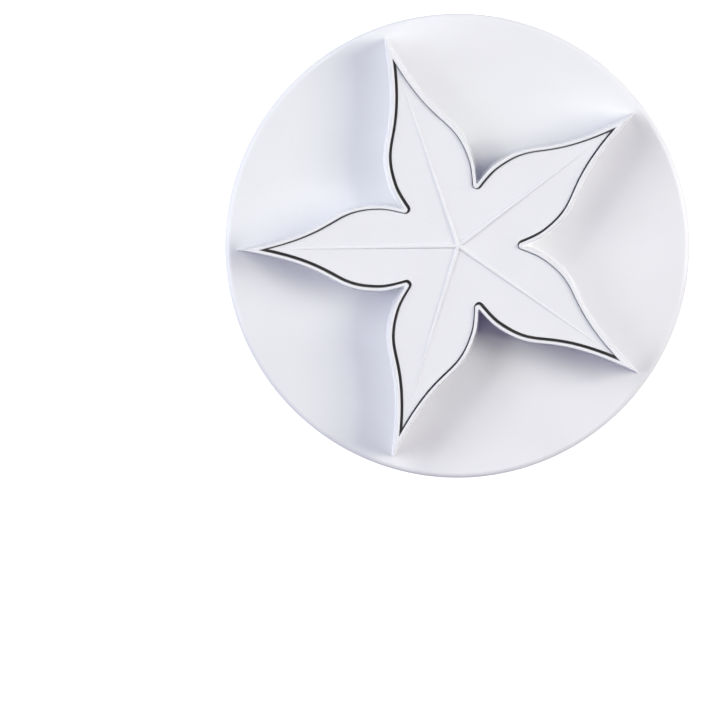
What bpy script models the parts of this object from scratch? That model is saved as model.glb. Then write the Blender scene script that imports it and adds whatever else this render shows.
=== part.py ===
"""Plunger cutter for cookies and sugar paste: a five-petal cutting wall on a round flange.

Metres, +Z up. The cutter stands on the end of its thumb knob with the cutting edge up.
The origin is the centre of the knob's end, and every piece is built round the Z axis.
Pressing the knob towards the cutting edge slides the embossing plate up the cutting wall.
"""

import math

import bmesh
import bpy
from mathutils import Vector
from mathutils.geometry import interpolate_bezier

# The cut shape: one petal, measured from the cutter's axis to the inner face of the wall
PETALS = 5
FIRST_PETAL_ANGLE = math.radians(36.0)
PETAL_LENGTH = 0.0325
BELLY_PLACE = 0.01272
BELLY_HALF_WIDTH = 0.00651
VALLEY_PLACE = 0.00909
VALLEY_ROUND = 0.00051
VALLEY_SLOPE = math.radians(15.5)
TIP_SLOPE = math.radians(12.0)

# How far each end of the two side curves pulls along its tangent, as a share of the span
VALLEY_PULL = 0.056
BELLY_PULL_IN = 0.323
BELLY_PULL_OUT = 0.415
TIP_PULL = 0.71

# Cutting wall: thin at the edge, thicker at its base, with a fillet onto the flange
WALL_HEIGHT = 0.0083
EDGE_THICKNESS = 0.00048
BASE_THICKNESS = 0.0008
BASE_FILLET = 0.0003
OUTER_VALLEY_ROUND = 0.0002

# Flange: a thin disc with a rounded rim that turns down a little towards the knob
FLANGE_MARGIN = 0.00222
FLANGE_THICKNESS = 0.0018
RIM_LIP = 0.0008
RIM_WIDTH = 0.0018
RIM_FRONT_ROUND = 0.0010
RIM_BACK_ROUND = 0.0004

# Barrel: the finger grip behind the flange, open at its mouth and thicker at its root
BARREL_LENGTH = 0.02185
BARREL_MOUTH_WALL = 0.00193
BARREL_ROOT_WALL = 0.00315
BARREL_FILLET = 0.0012
MOUTH_CHAMFER = 0.0009
MOUTH_ROUND = 0.0004

# Guide tube inside the barrel, which the stem runs in
GUIDE_LENGTH = 0.0075
GUIDE_WALL = 0.0010

# Embosser: the star plate with its veins, stiffening ribs, hub and stem
PLATE_PROUD = 0.0021
PLATE_THICKNESS = 0.0018
PLATE_GAP = 0.0003
VEIN_END_MARGIN = 0.0055
VEIN_ROOT_WIDTH = 0.0007
VEIN_END_WIDTH = 0.00028
VEIN_HEIGHT = 0.0004
VEIN_END_HEIGHT = 0.00008
RIB_END_MARGIN = 0.0070
RIB_THICKNESS = 0.0012
HUB_WALL = 0.0018
STEM_RADIUS = 0.0028

# Thumb knob: a hollow neck in the barrel, a cone that flares to a round rim, and a dished end
KNOB_RIM_OVERHANG = 0.00425
KNOB_RIM_ROUND = 0.00168
KNOB_CONE_SLOPE = math.radians(28.0)
KNOB_NECK_FILLET = 0.0012
KNOB_NECK_WALL = 0.00135
KNOB_NECK_REACH = 0.0075
KNOB_NECK_CHAMFER = 0.0004
KNOB_FLOOR = 0.0016
KNOB_DISH_DEPTH = 0.0008
KNOB_END_RING = 0.00105
SOCKET_WALL = 0.0009
SOCKET_DEPTH = 0.0071

# Return spring: steel wire wound round the guide tube and the socket, with closer end turns
SPRING_WIRE_RADIUS = 0.0004
SPRING_TURNS = 12
SPRING_END_TURNS = 1.5
SPRING_END_PITCH = 0.0013
POINTS_PER_TURN = 10

# Motion and clearances
TRAVEL = 0.0026
STOP_GAP = 0.0002
SEAT_GAP = 0.0003
RUNNING_GAP = 0.0003
SPRING_GAP = 0.0003
NECK_GAP = 0.0008

# How finely round shapes are divided
DISC_STEPS = 96
KNOB_STEPS = 60
STEM_STEPS = 24
INNER_SIDE_SAMPLES = 40
OUTER_SIDE_SAMPLES = 90
SIDE_POINTS = 18
VALLEY_POINTS = 4
TIP_POINTS = 3
FILLET_STEPS = 2
SHARP_ANGLE = math.radians(32.0)
WELD_DISTANCE = 0.000001
SINK = 0.0005

# Radii worked out from the stem outwards
GUIDE_INNER_RADIUS = STEM_RADIUS + RUNNING_GAP
GUIDE_OUTER_RADIUS = GUIDE_INNER_RADIUS + GUIDE_WALL
SOCKET_INNER_RADIUS = STEM_RADIUS + SEAT_GAP
SOCKET_OUTER_RADIUS = SOCKET_INNER_RADIUS + SOCKET_WALL
HUB_RADIUS = STEM_RADIUS + HUB_WALL
SPRING_INNER_RADIUS = max(GUIDE_OUTER_RADIUS, SOCKET_OUTER_RADIUS) + SPRING_GAP
SPRING_MEAN_RADIUS = (SPRING_INNER_RADIUS + SPRING_WIRE_RADIUS) / math.cos(math.pi / POINTS_PER_TURN)
NECK_INNER_RADIUS = SPRING_MEAN_RADIUS + SPRING_WIRE_RADIUS + SPRING_GAP
NECK_RADIUS = NECK_INNER_RADIUS + KNOB_NECK_WALL
BORE_RADIUS = NECK_RADIUS + NECK_GAP
BARREL_MOUTH_RADIUS = BORE_RADIUS + BARREL_MOUTH_WALL
BARREL_ROOT_RADIUS = BORE_RADIUS + BARREL_ROOT_WALL
KNOB_RIM_RADIUS = NECK_RADIUS + KNOB_RIM_OVERHANG

# Where the knob's round rim runs into its cone, as radius and height
CONE_START_RADIUS = KNOB_RIM_RADIUS - KNOB_RIM_ROUND * (1.0 - math.sin(KNOB_CONE_SLOPE))
CONE_START_Z = KNOB_RIM_ROUND * (1.0 + math.cos(KNOB_CONE_SLOPE))


def cone_height(radius):
    """Height of the knob's cone at a distance from the axis."""
    return CONE_START_Z + (CONE_START_RADIUS - radius) * math.tan(KNOB_CONE_SLOPE)


# Heights worked out from the knob's end upwards; the pressed knob's cone just clears the mouth
MOUTH_Z = cone_height(BORE_RADIUS + MOUTH_CHAMFER) + TRAVEL + STOP_GAP
FLANGE_BACK_Z = MOUTH_Z + BARREL_LENGTH
FLANGE_FRONT_Z = FLANGE_BACK_Z + FLANGE_THICKNESS
EDGE_Z = FLANGE_FRONT_Z + WALL_HEIGHT
PLATE_TOP_Z = EDGE_Z + PLATE_PROUD - TRAVEL
PLATE_BACK_Z = PLATE_TOP_Z - PLATE_THICKNESS
RIB_FOOT_Z = FLANGE_FRONT_Z + SEAT_GAP
KNOB_FLOOR_TOP_Z = KNOB_DISH_DEPTH + KNOB_FLOOR
STEM_END_Z = KNOB_FLOOR_TOP_Z + SEAT_GAP

HALF_SECTOR = math.pi / PETALS


def clear_scene():
    """Remove every object that is already in the scene."""
    for item in list(bpy.data.objects):
        bpy.data.objects.remove(item, do_unlink=True)


def material(name, colour, roughness, metallic=0.0):
    """Return a Principled material of one colour."""
    made = bpy.data.materials.new(name)
    made.use_nodes = True
    shader = made.node_tree.nodes["Principled BSDF"]
    shader.inputs["Base Color"].default_value = (*colour, 1.0)
    shader.inputs["Roughness"].default_value = roughness
    shader.inputs["Metallic"].default_value = metallic
    return made


def add_object(name, data, finish=None):
    """Link a new object that holds the given mesh or curve."""
    made = bpy.data.objects.new(name, data)
    bpy.context.scene.collection.objects.link(made)
    if finish is not None:
        data.materials.append(finish)
    return made


def mesh_from(bm, name):
    """Turn a bmesh into mesh data with outward faces and smooth shading on its rounds."""
    bmesh.ops.recalc_face_normals(bm, faces=bm.faces)
    data = bpy.data.meshes.new(name)
    bm.to_mesh(data)
    bm.free()
    data.shade_smooth()
    data.set_sharp_from_angle(angle=SHARP_ANGLE)
    return data


def join_by_union(target, tool):
    """Fuse a hidden tool object into the target, as one moulding."""
    tool.hide_render = True
    tool.display_type = "WIRE"
    tool.parent = target.parent
    fuse = target.modifiers.new("fuse_" + tool.name, "BOOLEAN")
    fuse.operation = "UNION"
    fuse.solver = "EXACT"
    fuse.object = tool


def arc(centre, radius, start_degrees, end_degrees, steps):
    """Points along an arc in the (radius, height) plane, ends included."""
    points = []
    for step in range(steps + 1):
        turn = math.radians(start_degrees + (end_degrees - start_degrees) * step / steps)
        points.append((centre[0] + radius * math.cos(turn), centre[1] + radius * math.sin(turn)))
    return points


def turned(name, profile, steps, closed):
    """Spin a (radius, height) profile once round the Z axis."""
    bm = bmesh.new()
    verts = [bm.verts.new((radius, 0.0, height)) for radius, height in profile]
    edges = [bm.edges.new(pair) for pair in zip(verts, verts[1:])]
    if closed:
        edges.append(bm.edges.new((verts[-1], verts[0])))
    bmesh.ops.spin(bm, geom=verts + edges, cent=(0, 0, 0), axis=(0, 0, 1),
                   angle=math.tau, steps=steps, use_merge=True)
    bmesh.ops.remove_doubles(bm, verts=bm.verts, dist=WELD_DISTANCE)
    return mesh_from(bm, name)


def petal_side():
    """Dense points along one side of a petal, from the valley corner to the tip."""
    valley = Vector((VALLEY_PLACE * math.cos(HALF_SECTOR), VALLEY_PLACE * math.sin(HALF_SECTOR)))
    belly = Vector((BELLY_PLACE, BELLY_HALF_WIDTH))
    tip = Vector((PETAL_LENGTH, 0.0))
    inner_span = belly.x - valley.x
    outer_span = tip.x - belly.x
    leave_valley = Vector((math.cos(VALLEY_SLOPE), math.sin(VALLEY_SLOPE))) * inner_span * VALLEY_PULL
    reach_belly = Vector((inner_span * BELLY_PULL_IN, 0.0))
    leave_belly = Vector((outer_span * BELLY_PULL_OUT, 0.0))
    reach_tip = Vector((-math.cos(TIP_SLOPE), math.sin(TIP_SLOPE))) * outer_span * TIP_PULL
    inner = interpolate_bezier(valley, valley + leave_valley, belly - reach_belly, belly,
                               INNER_SIDE_SAMPLES)
    outer = interpolate_bezier(belly, belly + leave_belly, tip + reach_tip, tip, OUTER_SIDE_SAMPLES)
    return [Vector(point) for point in inner + outer[1:]]


def offset_side(side, distance):
    """The petal side moved outwards by a distance, and run on straight past both of its ends."""
    moved = []
    for index, point in enumerate(side):
        ahead = side[min(index + 1, len(side) - 1)]
        behind = side[max(index - 1, 0)]
        tangent = (ahead - behind).normalized()
        moved.append(point + Vector((-tangent.y, tangent.x)) * distance)
    run_on = PETAL_LENGTH
    start = moved[0] - (side[1] - side[0]).normalized() * run_on
    end = moved[-1] + (side[-1] - side[-2]).normalized() * run_on
    return [start] + moved + [end]


def crossing(points, height_over):
    """Index and point where the first sign change of a height function lies on a polyline."""
    for index in range(len(points) - 1):
        here = height_over(points[index])
        there = height_over(points[index + 1])
        if here < 0.0 <= there:
            share = here / (here - there)
            return index + share, points[index].lerp(points[index + 1], share)
    raise ValueError("the outline does not reach the line that bounds it")


def at_index(points, place):
    """Point at a fractional index of a polyline."""
    index = min(int(place), len(points) - 2)
    return points[index].lerp(points[index + 1], place - index)


def half_petal(distance, valley_round, spread=0.0):
    """One petal side from the middle of the valley to the tip, offset outwards by a distance.

    The offset meets its mirror image in a sharp tip. A spread moves the outline further out,
    with the tip rounded, as a fillet does round the foot of a wall.
    """
    side = petal_side()
    bisector = Vector((math.cos(HALF_SECTOR), math.sin(HALF_SECTOR)))

    def past_valley(point):
        return point.x * bisector.y - point.y * bisector.x

    reach = distance + spread
    start_place, centre = crossing(offset_side(side, reach + valley_round), past_valley)
    end_place, tip = crossing(offset_side(side, distance), lambda point: -point.y)
    outline = offset_side(side, reach)
    tangent_point = at_index(outline, start_place)
    side_end = at_index(outline, end_place)

    from_centre = tangent_point - centre
    start_turn = math.atan2(-bisector.y, -bisector.x)
    end_turn = math.atan2(from_centre.y, from_centre.x)
    if end_turn < start_turn:
        end_turn += math.tau
    points = []
    for step in range(VALLEY_POINTS):
        turn = start_turn + (end_turn - start_turn) * step / VALLEY_POINTS
        points.append(centre + Vector((math.cos(turn), math.sin(turn))) * valley_round)

    run = [tangent_point] + outline[int(start_place) + 1:int(end_place) + 1] + [side_end]
    lengths = [0.0]
    for behind, ahead in zip(run, run[1:]):
        lengths.append(lengths[-1] + (ahead - behind).length)
    index = 0
    for step in range(SIDE_POINTS + 1):
        wanted = lengths[-1] * step / SIDE_POINTS
        while index < len(run) - 2 and lengths[index + 1] < wanted:
            index += 1
        span = max(lengths[index + 1] - lengths[index], WELD_DISTANCE)
        points.append(run[index].lerp(run[index + 1], (wanted - lengths[index]) / span))

    tip_turn = math.atan2(side_end.y - tip.y, side_end.x - tip.x)
    for step in range(1, TIP_POINTS + 1):
        turn = tip_turn * (1.0 - step / TIP_POINTS)
        points.append(tip + Vector((math.cos(turn), math.sin(turn))) * spread)
    return points


def star_outline(distance, valley_round, spread=0.0):
    """The whole star as one counter-clockwise loop of points."""
    half = half_petal(distance, valley_round, spread)
    lower = [Vector((point.x, -point.y)) for point in half]
    petal = lower + list(reversed(half[1:-1]))
    loop = []
    for number in range(PETALS):
        turn = FIRST_PETAL_ANGLE + number * math.tau / PETALS
        for point in petal:
            loop.append(Vector((point.x * math.cos(turn) - point.y * math.sin(turn),
                                point.x * math.sin(turn) + point.y * math.cos(turn))))
    return loop


def lofted(name, rings, tube):
    """Skin a stack of (outline, height) rings, as a closed tube wall or with flat end caps."""
    bm = bmesh.new()
    loops = [[bm.verts.new((point.x, point.y, height)) for point in outline]
             for outline, height in rings]
    pairs = list(zip(loops, loops[1:]))
    if tube:
        pairs.append((loops[-1], loops[0]))
    else:
        bm.faces.new(loops[0])
        bm.faces.new(loops[-1])
    for lower, upper in pairs:
        count = len(lower)
        for index in range(count):
            following = (index + 1) % count
            bm.faces.new((lower[index], lower[following], upper[following], upper[index]))
    bmesh.ops.remove_doubles(bm, verts=bm.verts, dist=WELD_DISTANCE)
    return mesh_from(bm, name)


def star_arms(name, reach, root_width, end_width, low, high, end_high):
    """Bars from the axis along every petal, tapering in width and height to their ends."""
    bm = bmesh.new()
    corner = root_width * 0.5 / math.sin(HALF_SECTOR)
    bottom = []
    top = []
    for number in range(PETALS):
        turn = FIRST_PETAL_ANGLE + number * math.tau / PETALS
        along = Vector((math.cos(turn), math.sin(turn)))
        across = Vector((-along.y, along.x))
        before = turn - HALF_SECTOR
        outline = [(Vector((math.cos(before), math.sin(before))) * corner, high),
                   (along * reach - across * end_width * 0.5, end_high),
                   (along * reach + across * end_width * 0.5, end_high)]
        for point, height in outline:
            bottom.append(bm.verts.new((point.x, point.y, low)))
            top.append(bm.verts.new((point.x, point.y, height)))
    count = len(bottom)
    low_centre = bm.verts.new((0.0, 0.0, low))
    high_centre = bm.verts.new((0.0, 0.0, high))
    for index in range(count):
        following = (index + 1) % count
        bm.faces.new((bottom[index], bottom[following], top[following], top[index]))
        bm.faces.new((bottom[following], bottom[index], low_centre))
        bm.faces.new((top[index], top[following], high_centre))
    return mesh_from(bm, name)


def rod(name, radius, low, high, steps):
    """A plain round rod between two heights."""
    return turned(name, [(0.0, low), (radius, low), (radius, high), (0.0, high)], steps, False)


def wall_base_tip_radius():
    """Distance from the axis to the sharp tip of the wall at its base."""
    return half_petal(BASE_THICKNESS, OUTER_VALLEY_ROUND)[-1].x


def cutter_body(finish):
    """Flange, cutting wall, barrel and guide tube, moulded as one piece."""
    edge_radius = wall_base_tip_radius() + FLANGE_MARGIN
    rim_back = FLANGE_BACK_Z - RIM_LIP
    profile = [(GUIDE_INNER_RADIUS, FLANGE_FRONT_Z)]
    profile += arc((edge_radius - RIM_FRONT_ROUND, FLANGE_FRONT_Z - RIM_FRONT_ROUND),
                   RIM_FRONT_ROUND, 90.0, 0.0, 4)
    profile += arc((edge_radius - RIM_BACK_ROUND, rim_back + RIM_BACK_ROUND),
                   RIM_BACK_ROUND, 0.0, -90.0, 2)
    profile.append((edge_radius - RIM_WIDTH, rim_back))
    profile.append((edge_radius - RIM_WIDTH, FLANGE_BACK_Z))
    profile += arc((BARREL_ROOT_RADIUS + BARREL_FILLET, FLANGE_BACK_Z - BARREL_FILLET),
                   BARREL_FILLET, 90.0, 180.0, 3)
    profile += arc((BARREL_MOUTH_RADIUS - MOUTH_ROUND, MOUTH_Z + MOUTH_ROUND),
                   MOUTH_ROUND, 0.0, -90.0, 2)
    profile.append((BORE_RADIUS + MOUTH_CHAMFER, MOUTH_Z))
    profile.append((BORE_RADIUS, MOUTH_Z + MOUTH_CHAMFER))
    profile.append((BORE_RADIUS, FLANGE_BACK_Z))
    profile.append((GUIDE_OUTER_RADIUS, FLANGE_BACK_Z))
    profile.append((GUIDE_OUTER_RADIUS, FLANGE_BACK_Z - GUIDE_LENGTH))
    profile.append((GUIDE_INNER_RADIUS, FLANGE_BACK_Z - GUIDE_LENGTH))
    body = add_object("cutter_body", turned("cutter_body", profile, DISC_STEPS, True), finish)

    foot = star_outline(BASE_THICKNESS, OUTER_VALLEY_ROUND, BASE_FILLET)
    rings = [(foot, FLANGE_FRONT_Z - SINK)]
    for step in range(FILLET_STEPS + 1):
        turn = 0.5 * math.pi * step / FILLET_STEPS
        spread = BASE_FILLET * (1.0 - math.sin(turn))
        rise = BASE_FILLET * (1.0 - math.cos(turn))
        rings.append((star_outline(BASE_THICKNESS, OUTER_VALLEY_ROUND, spread), FLANGE_FRONT_Z + rise))
    rings.append((star_outline(EDGE_THICKNESS, OUTER_VALLEY_ROUND), EDGE_Z))
    inner = star_outline(0.0, VALLEY_ROUND)
    rings.append((inner, EDGE_Z))
    rings.append((inner, FLANGE_FRONT_Z - SINK))
    join_by_union(body, add_object("wall_guide", lofted("wall_guide", rings, True)))
    return body


def embosser(finish):
    """Star plate with raised veins, stiffening ribs, hub and stem, moulded as one piece."""
    outline = star_outline(-PLATE_GAP, VALLEY_ROUND + PLATE_GAP)
    plate = lofted("embosser", [(outline, PLATE_BACK_Z), (outline, PLATE_TOP_Z)], False)
    piece = add_object("embosser", plate, finish)
    veins = star_arms("vein_guide", PETAL_LENGTH - VEIN_END_MARGIN, VEIN_ROOT_WIDTH, VEIN_END_WIDTH,
                      PLATE_TOP_Z - SINK, PLATE_TOP_Z + VEIN_HEIGHT, PLATE_TOP_Z + VEIN_END_HEIGHT)
    join_by_union(piece, add_object("vein_guide", veins))
    ribs = star_arms("rib_guide", PETAL_LENGTH - RIB_END_MARGIN, RIB_THICKNESS, RIB_THICKNESS,
                     RIB_FOOT_Z, PLATE_BACK_Z + SINK, PLATE_BACK_Z + SINK)
    join_by_union(piece, add_object("rib_guide", ribs))
    hub = rod("hub_guide", HUB_RADIUS, RIB_FOOT_Z, PLATE_BACK_Z + SINK, STEM_STEPS)
    join_by_union(piece, add_object("hub_guide", hub))
    stem = rod("stem_guide", STEM_RADIUS, STEM_END_Z, PLATE_BACK_Z + SINK, STEM_STEPS)
    join_by_union(piece, add_object("stem_guide", stem))
    return piece


def knob_flare():
    """Outer points of the knob from its end ring, round the rim and up the cone to the neck."""
    corner_z = cone_height(NECK_RADIUS)
    fillet_rise = KNOB_NECK_FILLET * math.tan(0.5 * (0.5 * math.pi - KNOB_CONE_SLOPE))
    slope = math.degrees(KNOB_CONE_SLOPE)
    rim_centre = (KNOB_RIM_RADIUS - KNOB_RIM_ROUND, KNOB_RIM_ROUND)
    fillet_centre = (NECK_RADIUS + KNOB_NECK_FILLET, corner_z + fillet_rise)
    points = arc(rim_centre, KNOB_RIM_ROUND, -90.0, 90.0 - slope, 8)
    points += arc(fillet_centre, KNOB_NECK_FILLET, 270.0 - slope, 180.0, 4)
    return points


def thumb_knob(finish):
    """Hollow neck that slides in the barrel, flared rim, dished end and stem socket."""
    neck_top = MOUTH_Z + KNOB_NECK_REACH
    socket_top = KNOB_FLOOR_TOP_Z + SOCKET_DEPTH
    dish_radius = KNOB_RIM_RADIUS - KNOB_RIM_ROUND - KNOB_END_RING
    profile = [(0.0, KNOB_DISH_DEPTH), (dish_radius - KNOB_DISH_DEPTH, KNOB_DISH_DEPTH), (dish_radius, 0.0)]
    profile += knob_flare()
    profile.append((NECK_RADIUS, neck_top - KNOB_NECK_CHAMFER))
    profile.append((NECK_RADIUS - KNOB_NECK_CHAMFER, neck_top))
    profile.append((NECK_INNER_RADIUS, neck_top))
    profile.append((NECK_INNER_RADIUS, KNOB_FLOOR_TOP_Z))
    profile.append((SOCKET_OUTER_RADIUS, KNOB_FLOOR_TOP_Z))
    profile.append((SOCKET_OUTER_RADIUS, socket_top))
    profile.append((SOCKET_INNER_RADIUS, socket_top))
    profile.append((SOCKET_INNER_RADIUS, KNOB_FLOOR_TOP_Z))
    profile.append((0.0, KNOB_FLOOR_TOP_Z))
    return add_object("thumb_knob", turned("thumb_knob", profile, KNOB_STEPS, False), finish)


def spring_points():
    """Centre line of the spring wire, between its seats in the knob and on the flange."""
    low = KNOB_FLOOR_TOP_Z + SEAT_GAP + SPRING_WIRE_RADIUS
    high = FLANGE_BACK_Z - SEAT_GAP - SPRING_WIRE_RADIUS
    end_rise = SPRING_END_TURNS * SPRING_END_PITCH
    middle_turns = SPRING_TURNS - 2.0 * SPRING_END_TURNS
    middle_pitch = (high - low - 2.0 * end_rise) / middle_turns
    points = []
    for step in range(SPRING_TURNS * POINTS_PER_TURN + 1):
        turns = step / POINTS_PER_TURN
        from_low = min(turns, SPRING_END_TURNS)
        between = min(max(turns - SPRING_END_TURNS, 0.0), middle_turns)
        to_high = max(turns - SPRING_END_TURNS - middle_turns, 0.0)
        height = low + (from_low + to_high) * SPRING_END_PITCH + between * middle_pitch
        angle = math.tau * turns
        points.append(Vector((SPRING_MEAN_RADIUS * math.cos(angle), SPRING_MEAN_RADIUS * math.sin(angle),
                              height)))
    return points


def least_coil_gap(points):
    """Least distance between the surfaces of neighbouring coils, measured on the points."""
    least = math.inf
    for index, point in enumerate(points):
        for other in points[index + POINTS_PER_TURN // 2:]:
            least = min(least, (other - point).length)
    return least - 2.0 * SPRING_WIRE_RADIUS


def return_spring(finish):
    """Compression spring as one unbroken wire."""
    points = spring_points()
    data = bpy.data.curves.new("return_spring", "CURVE")
    data.dimensions = "3D"
    data.bevel_depth = SPRING_WIRE_RADIUS
    data.bevel_resolution = 1
    data.use_fill_caps = True
    wire = data.splines.new("POLY")
    wire.points.add(len(points) - 1)
    for place, point in zip(wire.points, points):
        place.co = (point.x, point.y, point.z, 1.0)
    print("least gap between the spring's coils: %.2f mm" % (least_coil_gap(points) * 1000.0))
    return add_object("return_spring", data, finish)


def main():
    """Build every piece and hang the moving ones on an empty on the slide axis."""
    clear_scene()
    white = material("white_plastic", (0.86, 0.87, 0.90), 0.32)
    plate_white = material("white_plastic_plate", (0.86, 0.87, 0.90), 0.36)
    knob_white = material("white_plastic_knob", (0.86, 0.87, 0.90), 0.30)
    steel = material("spring_steel", (0.55, 0.56, 0.58), 0.28, 1.0)
    cutter_body(white)
    slide = add_object("plunger_axis", None)
    for piece in (embosser(plate_white), thumb_knob(knob_white), return_spring(steel)):
        piece.parent = slide


main()
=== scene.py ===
"""Looks of a plunger cookie cutter: finely rounded mouldings, a wound wire spring and a studio.

Metres, +Z up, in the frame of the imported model. The cutter stands on the end of its thumb
knob with its cutting edge up, and every piece is built round the Z axis.
"""

import logging
import math
from collections.abc import Sequence
from dataclasses import dataclass, field
from enum import Enum

import bmesh
import bpy
import numpy as np
from mathutils import Matrix, Quaternion, Vector


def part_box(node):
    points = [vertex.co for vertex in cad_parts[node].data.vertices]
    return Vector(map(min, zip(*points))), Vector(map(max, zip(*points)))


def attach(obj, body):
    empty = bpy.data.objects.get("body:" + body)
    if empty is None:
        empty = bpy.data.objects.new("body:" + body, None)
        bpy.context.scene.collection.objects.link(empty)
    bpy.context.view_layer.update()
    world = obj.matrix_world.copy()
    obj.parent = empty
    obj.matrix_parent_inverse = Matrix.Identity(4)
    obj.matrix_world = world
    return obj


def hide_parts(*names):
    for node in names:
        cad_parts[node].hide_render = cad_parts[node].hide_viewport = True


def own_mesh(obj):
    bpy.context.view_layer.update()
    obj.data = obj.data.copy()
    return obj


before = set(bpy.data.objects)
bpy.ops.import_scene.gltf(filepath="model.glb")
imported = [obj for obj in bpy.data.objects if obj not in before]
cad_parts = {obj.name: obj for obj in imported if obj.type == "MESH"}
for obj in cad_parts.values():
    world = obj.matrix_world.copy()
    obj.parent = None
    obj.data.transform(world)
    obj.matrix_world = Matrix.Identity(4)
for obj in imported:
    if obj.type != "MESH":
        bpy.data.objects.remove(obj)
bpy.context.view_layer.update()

LOG = logging.getLogger("cutter")

WELD_DISTANCE = 0.0000002
SHARP_ANGLE = math.radians(38.0)
NEAR_ZERO = 1e-9
BLACK = (0.0, 0.0, 0.0)

Values = float | np.ndarray
Source = bpy.types.NodeSocket | float | tuple[float, ...]


class Body(Enum):
    """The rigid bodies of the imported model."""

    CUTTER = "cutter"
    PLUNGER = "plunger"


class Slot(Enum):
    """The record's material slots."""

    CUTTER = "white_plastic"
    PLATE = "white_plastic_plate"
    KNOB = "white_plastic_knob"
    SPRING = "spring_steel"


class Mask(Enum):
    """Mesh attributes that the materials read as masks."""

    EDGE = "edge_wear_and_highlight"
    RECESS = "recess"
    ALONG = "along_wire"
    AROUND = "around_wire"


class GroupName(Enum):
    """Shader node groups that more than one material uses."""

    GRAIN = "mould_grain"
    SCRATCHES = "handling_scratches"
    POLISH_AND_HIGHLIGHT = "edge_polish_and_highlight"
    SPECKS = "dust_specks"
    SHADE = "recess_shade"


# ---------------------------------------------------------------- outlines and profiles


@dataclass(frozen=True)
class PetalOutline:
    """The cut shape: five petals, measured from the axis to the inner face of the wall."""

    petals: int = 5
    first_angle: float = math.radians(36.0)
    length: float = 0.0327
    belly_place: float = 0.01272
    belly_half_width: float = 0.00651
    valley_place: float = 0.00909
    valley_round: float = 0.00051
    least_valley_round: float = 0.0002
    valley_slope: float = math.radians(15.5)
    tip_slope: float = math.radians(12.0)
    valley_pull: float = 0.056
    belly_pull_in: float = 0.323
    belly_pull_out: float = 0.415
    tip_pull: float = 0.71
    sharpest_offset: float = 0.0008
    tip_round: float = 0.00002
    samples: int = 400
    valley_steps: int = 10
    side_steps: int = 42
    tip_steps: int = 5

    @property
    def half_sector(self) -> float:
        """Half of the angle that one petal takes."""
        return math.pi / self.petals

    def side(self) -> np.ndarray:
        """Trace one side of a petal that lies along +X.

        Returns:
            Dense points from the valley corner over the belly to the tip.
        """
        valley = self.valley_place * np.array([math.cos(self.half_sector),
                                               math.sin(self.half_sector)])
        belly = np.array([self.belly_place, self.belly_half_width])
        tip = np.array([self.length, 0.0])
        inner = belly[0] - valley[0]
        outer = tip[0] - belly[0]
        leave = np.array([math.cos(self.valley_slope), math.sin(self.valley_slope)])
        reach = np.array([-math.cos(self.tip_slope), math.sin(self.tip_slope)])
        first = bezier(valley, valley + leave * inner * self.valley_pull,
                       belly - np.array([inner * self.belly_pull_in, 0.0]), belly,
                       self.samples // 3)
        second = bezier(belly, belly + np.array([outer * self.belly_pull_out, 0.0]),
                        tip + reach * outer * self.tip_pull, tip, self.samples)
        return np.vstack([first, second[1:]])

    def offset(self, distance: float) -> np.ndarray:
        """Move the side outwards and run it on straight past both of its ends.

        Args:
            distance: How far outwards; below zero it moves inwards.

        Returns:
            The moved points, with one far point before and one after them.
        """
        side = self.side()
        tangent = unit_rows(np.gradient(side, axis=0))
        moved = side + np.column_stack([-tangent[:, 1], tangent[:, 0]]) * distance
        start = moved[0] - tangent[0] * self.length
        end = moved[-1] + tangent[-1] * self.length
        return np.vstack([start, moved, end])

    def half(self, distance: float) -> np.ndarray:
        """Trace half a petal at a distance from the inner face of the wall.

        Args:
            distance: How far outwards from the inner face; below zero is inside the star.

        Returns:
            Points from the middle of the valley, over the belly, to the rounded tip.
        """
        valley_round = max(self.valley_round - distance, self.least_valley_round)
        mitre = min(distance, self.sharpest_offset) - self.tip_round
        spread = distance - mitre
        across = np.array([math.sin(self.half_sector), -math.cos(self.half_sector)])
        start_place, centre = crossing(self.offset(distance + valley_round), across)
        end_place, tip = crossing(self.offset(mitre), np.array([0.0, -1.0]))
        outline = self.offset(distance)
        start = at_place(outline, start_place)
        end = at_place(outline, end_place)

        start_turn = self.half_sector + math.pi
        end_turn = math.atan2(start[1] - centre[1], start[0] - centre[0]) % math.tau
        turns = np.linspace(start_turn, end_turn, self.valley_steps, endpoint=False)
        valley = centre + valley_round * np.column_stack([np.cos(turns), np.sin(turns)])

        run = np.vstack([start, outline[int(start_place) + 1:int(end_place) + 1], end])
        side = evenly(run, self.side_steps)

        tip_turn = math.atan2(end[1] - tip[1], end[0] - tip[0])
        turns = tip_turn * (1.0 - np.arange(1, self.tip_steps + 1) / self.tip_steps)
        rounded_tip = tip + spread * np.column_stack([np.cos(turns), np.sin(turns)])
        return np.vstack([valley, side, rounded_tip])

    def star(self, distance: float) -> np.ndarray:
        """Trace the whole star at a distance from the inner face of the wall.

        Args:
            distance: How far outwards from the inner face; below zero is inside the star.

        Returns:
            One counter-clockwise loop of points.
        """
        half = self.half(distance)
        petal = np.vstack([half * np.array([1.0, -1.0]), half[-2:0:-1]])
        return np.vstack([turned_by(petal, self.angle(number)) for number in range(self.petals)])

    def angle(self, number: int) -> float:
        """Direction of a petal, counted from the first."""
        return self.first_angle + number * math.tau / self.petals

    def reach(self, distance: float, angles: np.ndarray) -> np.ndarray:
        """Measure the star's radius in some directions.

        Args:
            distance: How far outwards from the inner face of the wall.
            angles: The directions.

        Returns:
            One radius for each direction.
        """
        ring = self.star(distance)
        ring = ring[np.argsort(angle_of(ring))]
        return np.interp(angles, angle_of(ring), radius_of(ring), period=math.tau)


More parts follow.
